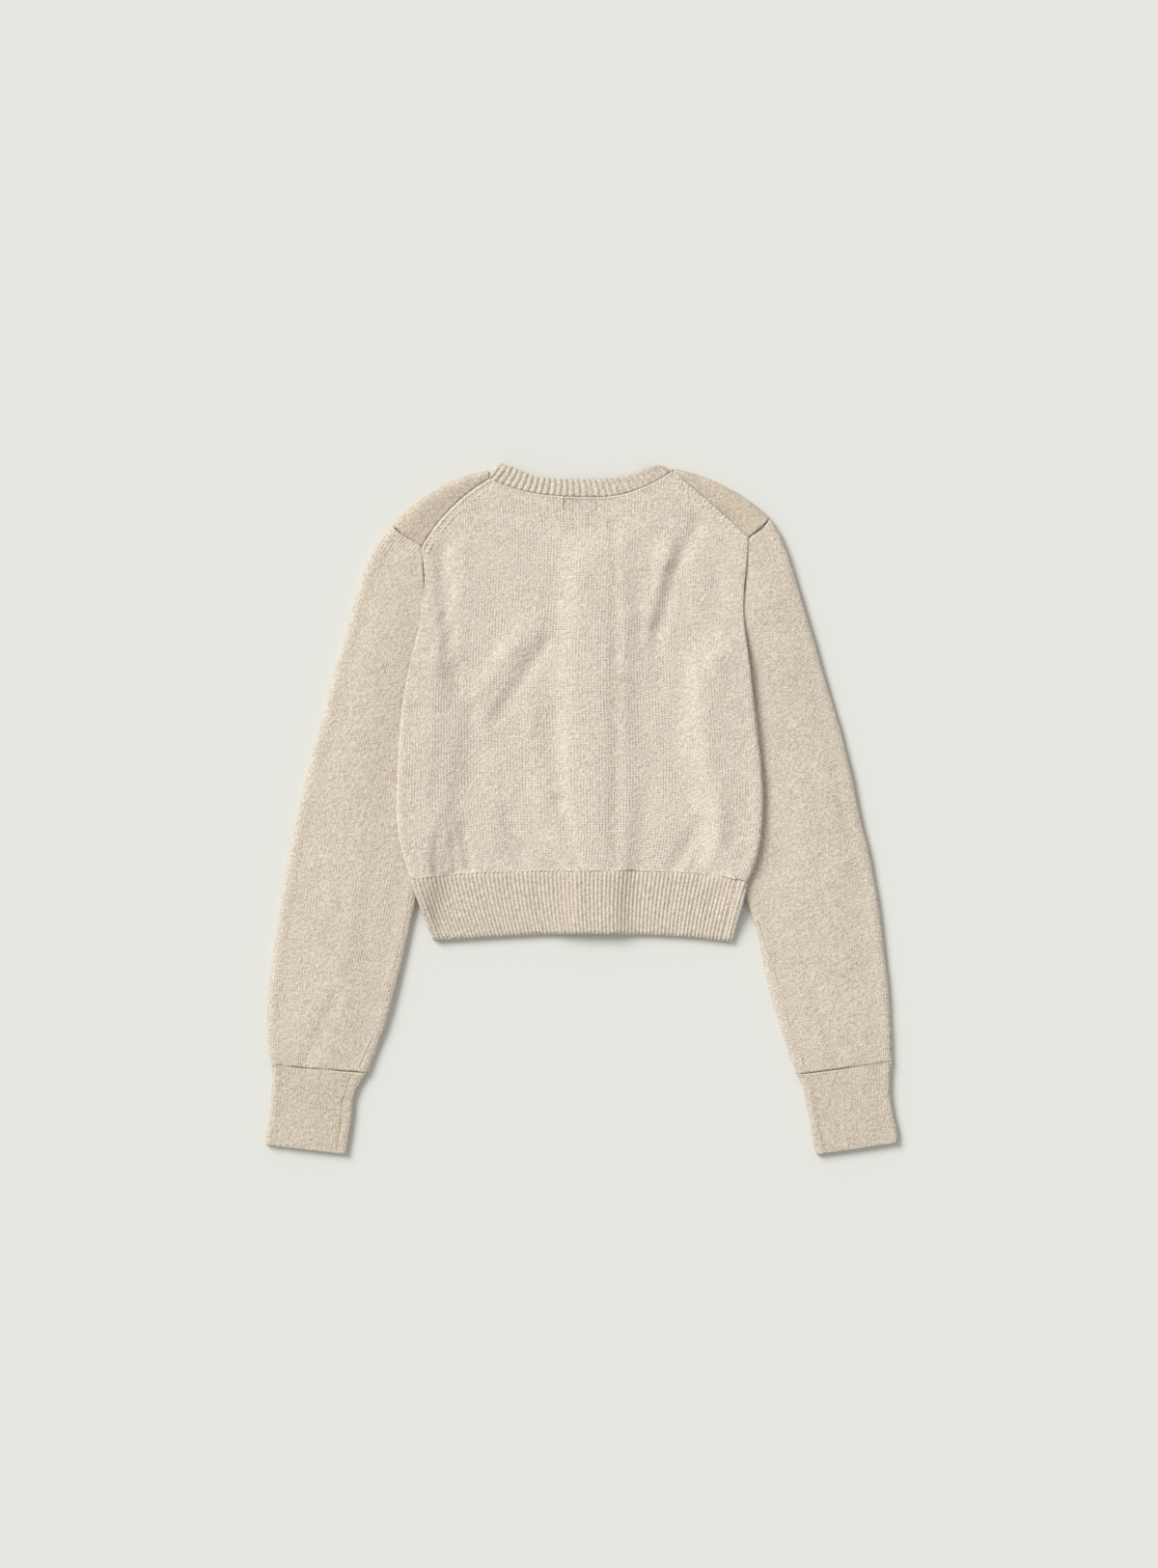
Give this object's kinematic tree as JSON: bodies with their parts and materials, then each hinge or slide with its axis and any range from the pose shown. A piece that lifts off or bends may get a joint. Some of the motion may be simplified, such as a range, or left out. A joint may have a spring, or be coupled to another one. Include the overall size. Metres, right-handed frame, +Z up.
{
  "type": "cardigan",
  "caption": "Cropped knitted wool cardigan laid flat on its front, with ribbed hem and neckband, long sleeves with plain cuffs, and a buttoned placket underneath.",
  "frame": {"origin": "middle of the laid garment's bounding box, on the surface that it lies on", "axes": "+Z up from the surface, +Y from the hem towards the neck, +X to the right seen from above"},
  "size_m": [0.6172, 0.6746, 0.0157],
  "materials": {
    "wool": "brushed plain knit",
    "rib_wool": "rib knit",
    "horn": "polished, horn-like",
    "satin": "woven"
  },
  "bodies": {
    "root": {"back": "wool", "front_left": "wool", "front_right": "wool", "sleeve_left": "wool", "sleeve_right": "wool", "cuff_left": "rib_wool", "cuff_right": "rib_wool", "hem_back": "rib_wool", "hem_front_left": "rib_wool", "hem_front_right": "rib_wool", "neckband": "rib_wool", "band_under": "rib_wool", "band_over": "rib_wool", "label": "satin", "button_1": "horn", "button_2": "horn", "button_3": "horn", "button_4": "horn", "button_5": "horn", "button_6": "horn", "button_7": "horn"}
  },
  "joints": []
}
